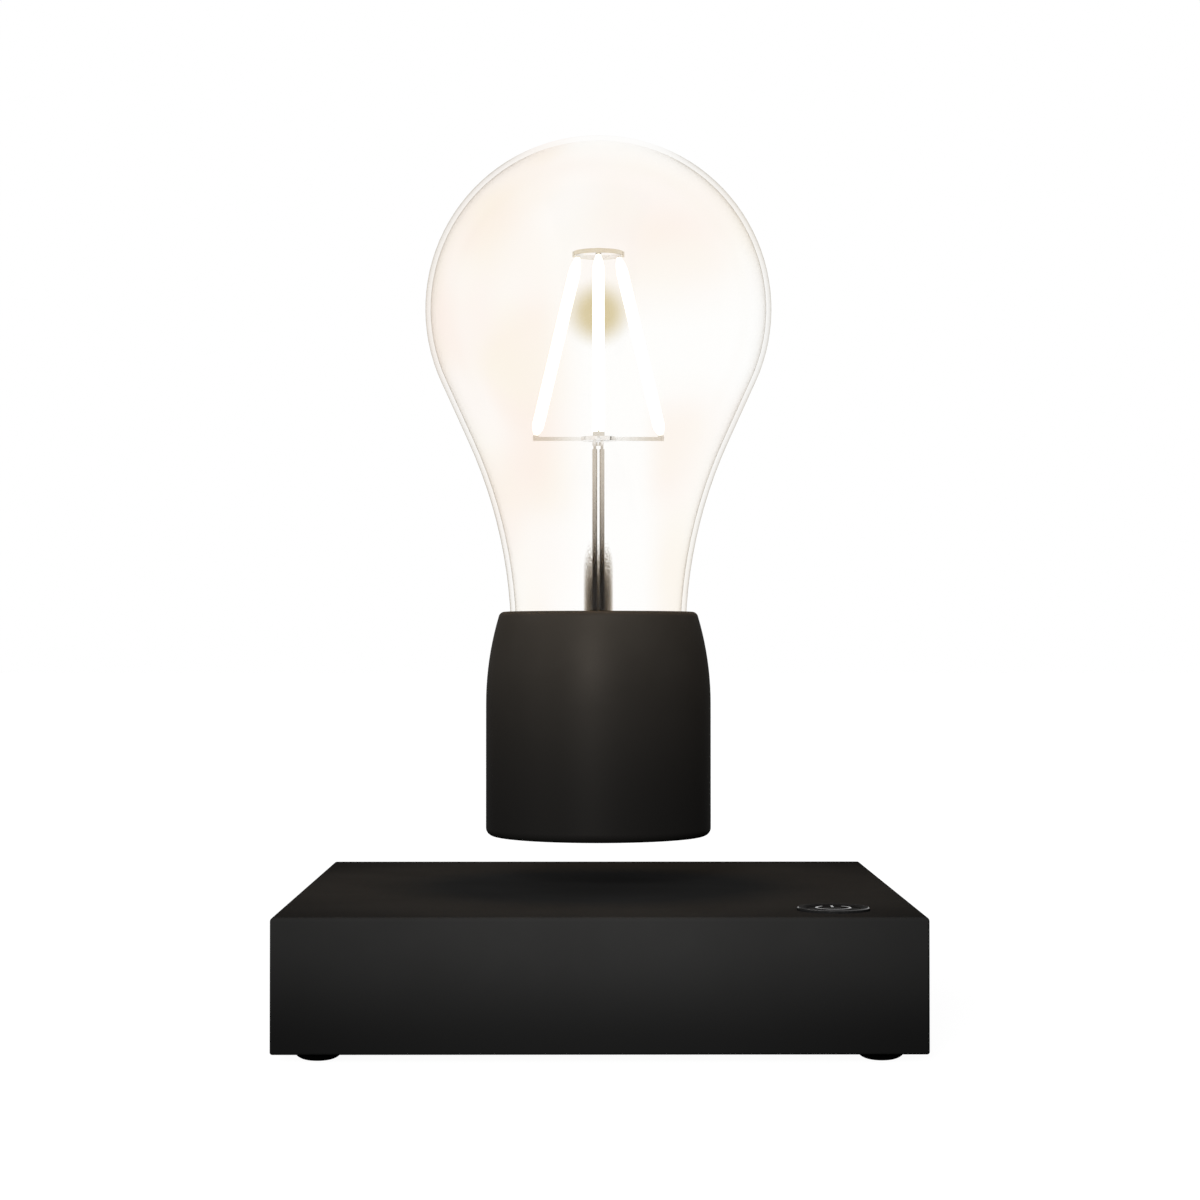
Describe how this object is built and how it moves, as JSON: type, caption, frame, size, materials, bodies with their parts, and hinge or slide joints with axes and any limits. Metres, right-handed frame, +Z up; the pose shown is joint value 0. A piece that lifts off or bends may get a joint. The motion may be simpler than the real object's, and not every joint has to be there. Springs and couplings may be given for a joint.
{
  "type": "levitating lamp",
  "caption": "Clear pear-shaped lamp with a lit filament frame that floats over a square base, with a round button.",
  "frame": {"origin": "on the table, under the middle of the square base", "axes": "+Z up along the lamp's axis, the front with the button's corner faces -Y, +X to the right"},
  "size_m": [0.125, 0.125, 0.1883],
  "materials": {
    "housing_plastic": "fine satin texture, soft to the touch",
    "foot_rubber": "matt",
    "screw_steel": "zinc plated",
    "circuit_board": "solder mask, satin",
    "chip_plastic": "moulded, matt",
    "capacitor_sleeve": "shrink sleeve",
    "ferrite": "sintered, dark grey",
    "former_plastic": "natural nylon",
    "copper_wire": "enamelled copper",
    "inlet_plastic": "moulded black",
    "contact_metal": "nickel plated",
    "button_plastic": "polished",
    "magnet_nickel": "nickel plated",
    "socket_plastic": "fine satin texture",
    "inner_plastic": "moulded, plain",
    "bulb_glass": "clear, blown",
    "stem_glass": "clear, drawn",
    "frame_metal": "bare strip, warm grey",
    "filament_glow": "lit, smooth coating"
  },
  "bodies": {
    "base": {"base_housing": "housing_plastic", "bottom_cover": "housing_plastic", "cover_screws": "screw_steel", "foot_front_left": "foot_rubber", "foot_front_right": "foot_rubber", "foot_back_left": "foot_rubber", "foot_back_right": "foot_rubber", "control_board": "circuit_board", "board_screws": "screw_steel", "driver_chips": "chip_plastic", "capacitor_1": "capacitor_sleeve", "capacitor_2": "capacitor_sleeve", "power_inductor": "chip_plastic", "field_magnet_ring": "ferrite", "hall_sensors": "chip_plastic", "transmitter_former": "former_plastic", "transmitter_coil": "copper_wire", "transmitter_leads": "copper_wire", "dc_jack": "inlet_plastic", "jack_contact_pin": "contact_metal", "switch_body": "inlet_plastic", "coil_bobbin_1": "former_plastic", "coil_winding_1": "copper_wire", "coil_bobbin_2": "former_plastic", "coil_winding_2": "copper_wire", "coil_bobbin_3": "former_plastic", "coil_winding_3": "copper_wire", "coil_bobbin_4": "former_plastic", "coil_winding_4": "copper_wire"},
    "button": {"power_button": "button_plastic", "switch_plunger": "inlet_plastic"},
    "lift_magnet": {"lift_magnet": "magnet_nickel"},
    "lamp": {"socket_shell": "socket_plastic", "socket_cap": "socket_plastic", "magnet_carrier": "inner_plastic", "receiver_coil": "copper_wire", "receiver_leads": "copper_wire", "receiver_board": "circuit_board", "receiver_parts": "chip_plastic", "bulb_holder": "inner_plastic", "glass_envelope": "bulb_glass", "glass_stem": "stem_glass", "lead_rod_left": "frame_metal", "lead_rod_right": "frame_metal", "support_frame_left": "frame_metal", "support_frame_right": "frame_metal", "upper_ring": "frame_metal", "filament_tabs": "frame_metal", "filament_front": "filament_glow", "filament_back": "filament_glow", "filament_left": "filament_glow", "filament_right": "filament_glow"}
  },
  "joints": [
    {"name": "levitation_lift", "type": "slide", "parent": "base", "child": "lift_magnet", "axis": [0, 0, 1], "range_m": [-0.0106, 0.06], "stiffness_N_per_m": 100, "springref_m": 0.01538},
    {"name": "lamp_spin", "type": "hinge", "parent": "lift_magnet", "child": "lamp", "pos_m": [0, 0, 0], "axis": [0, 0, 1], "continuous": true},
    {"name": "button_press", "type": "slide", "parent": "base", "child": "button", "axis": [0, 0, -1], "range_m": [0, 0.0004], "stiffness_N_per_m": 500}
  ]
}
